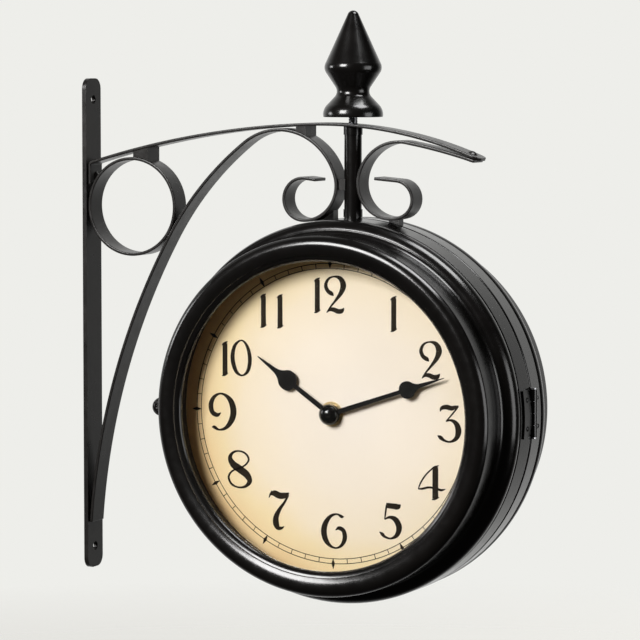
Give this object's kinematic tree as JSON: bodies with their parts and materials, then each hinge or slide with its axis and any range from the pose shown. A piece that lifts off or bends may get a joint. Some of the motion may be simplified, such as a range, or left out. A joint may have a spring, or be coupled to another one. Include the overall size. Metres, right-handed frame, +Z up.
{
  "type": "double sided station clock",
  "caption": "Double sided wall clock: a round drum with a dial on each face hangs from a scrolled wall bracket by a post with a turned finial on top.",
  "frame": {"origin": "centre between the two screw holes on the back face of the wall bar", "axes": "+Z up, +X straight away from the wall, the front dial looks along -Y"},
  "size_m": [0.3169, 0.112, 0.3762],
  "materials": {
    "satin_paint": "satin",
    "gloss_paint": "gloss",
    "steel": "brushed",
    "glass": "clear",
    "dial_print": "matt",
    "rim_band": "satin",
    "hand_black": "gloss",
    "brass": "satin",
    "black_plastic": "matt",
    "cell_jacket": "satin"
  },
  "bodies": {
    "bracket": {"wall_bar": "satin_paint", "arm": "satin_paint", "bracket_ring": "satin_paint", "brace_scroll": "satin_paint", "tip_scroll": "satin_paint", "ring_spacer": "satin_paint", "brace_spacer": "satin_paint", "post_pad": "satin_paint", "saddle_pad_left": "satin_paint", "saddle_pad_right": "satin_paint", "bar_rivet": "satin_paint", "tip_rivet": "satin_paint", "post": "gloss_paint", "post_collars": "gloss_paint", "threaded_rod": "steel", "post_nut": "steel", "rear_shell": "gloss_paint", "seam_liner": "black_plastic", "hinge_leaf_rear": "gloss_paint", "leaf_rivets_rear": "gloss_paint", "hinge_pin": "steel", "latch_nut": "steel", "rear_glass": "glass", "rear_spacer_ring": "rim_band", "rear_dial": "dial_print", "rear_dial_carrier": "steel", "rear_carrier_lugs": "steel", "rear_carrier_screws": "steel", "rear_movement": "black_plastic", "rear_movement_nut": "brass"},
    "front_case": {"front_shell": "gloss_paint", "hinge_leaf_front": "gloss_paint", "leaf_rivets_front": "gloss_paint", "latch_strap": "gloss_paint", "strap_rivets": "gloss_paint", "front_glass": "glass", "front_spacer_ring": "rim_band", "front_dial": "dial_print", "front_dial_carrier": "steel", "front_carrier_lugs": "steel", "front_carrier_screws": "steel", "front_movement": "black_plastic", "front_movement_nut": "brass"},
    "finial": {"finial": "gloss_paint"},
    "latch_screw": {"latch_screw": "gloss_paint"},
    "front_minute": {"front_minute_hand": "hand_black", "front_cap_nut": "hand_black"},
    "front_hour": {"front_hour_hand": "hand_black"},
    "front_knob": {"front_setting_knob": "black_plastic"},
    "front_cell": {"front_battery": "cell_jacket"},
    "rear_minute": {"rear_minute_hand": "hand_black", "rear_cap_nut": "hand_black"},
    "rear_hour": {"rear_hour_hand": "hand_black"},
    "rear_knob": {"rear_setting_knob": "black_plastic"},
    "rear_cell": {"rear_battery": "cell_jacket"}
  },
  "joints": [
    {"name": "case_door", "type": "hinge", "parent": "bracket", "child": "front_case", "pos_m": [0.3143, 0, -0.04485], "axis": [0, 0, 1], "range_deg": [0, 110]},
    {"name": "finial_turn", "type": "hinge", "parent": "bracket", "child": "finial", "pos_m": [0.1915, 0, 0.14], "axis": [0, 0, 1], "continuous": true},
    {"name": "latch_turn", "type": "hinge", "parent": "bracket", "child": "latch_screw", "pos_m": [0.0615, 0.005, -0.05385], "axis": [-1, 0, 0], "continuous": true},
    {"name": "front_minute_turn", "type": "hinge", "parent": "front_case", "child": "front_minute", "pos_m": [0.1915, -0.038, -0.04785], "axis": [0, 1, 0], "continuous": true},
    {"name": "front_hour_turn", "type": "hinge", "parent": "front_case", "child": "front_hour", "pos_m": [0.1915, -0.036, -0.04785], "axis": [0, 1, 0], "continuous": true},
    {"name": "front_knob_turn", "type": "hinge", "parent": "front_case", "child": "front_knob", "pos_m": [0.2045, -0.014, -0.03585], "axis": [0, 1, 0], "continuous": true},
    {"name": "front_cell_slide", "type": "slide", "parent": "front_case", "child": "front_cell", "axis": [0, 1, 0], "range_m": [0, 0.015]},
    {"name": "rear_minute_turn", "type": "hinge", "parent": "bracket", "child": "rear_minute", "pos_m": [0.1915, 0.038, -0.04785], "axis": [0, -1, 0], "continuous": true},
    {"name": "rear_hour_turn", "type": "hinge", "parent": "bracket", "child": "rear_hour", "pos_m": [0.1915, 0.036, -0.04785], "axis": [0, -1, 0], "continuous": true},
    {"name": "rear_knob_turn", "type": "hinge", "parent": "bracket", "child": "rear_knob", "pos_m": [0.1785, 0.014, -0.03585], "axis": [0, -1, 0], "continuous": true},
    {"name": "rear_cell_slide", "type": "slide", "parent": "bracket", "child": "rear_cell", "axis": [0, -1, 0], "range_m": [0, 0.015]}
  ],
  "couplings": [
    {"joint": "front_hour_turn", "follows": "front_minute_turn", "ratio": 0.083333},
    {"joint": "front_knob_turn", "follows": "front_minute_turn", "ratio": -0.33333},
    {"joint": "rear_hour_turn", "follows": "rear_minute_turn", "ratio": 0.083333},
    {"joint": "rear_knob_turn", "follows": "rear_minute_turn", "ratio": -0.33333}
  ]
}
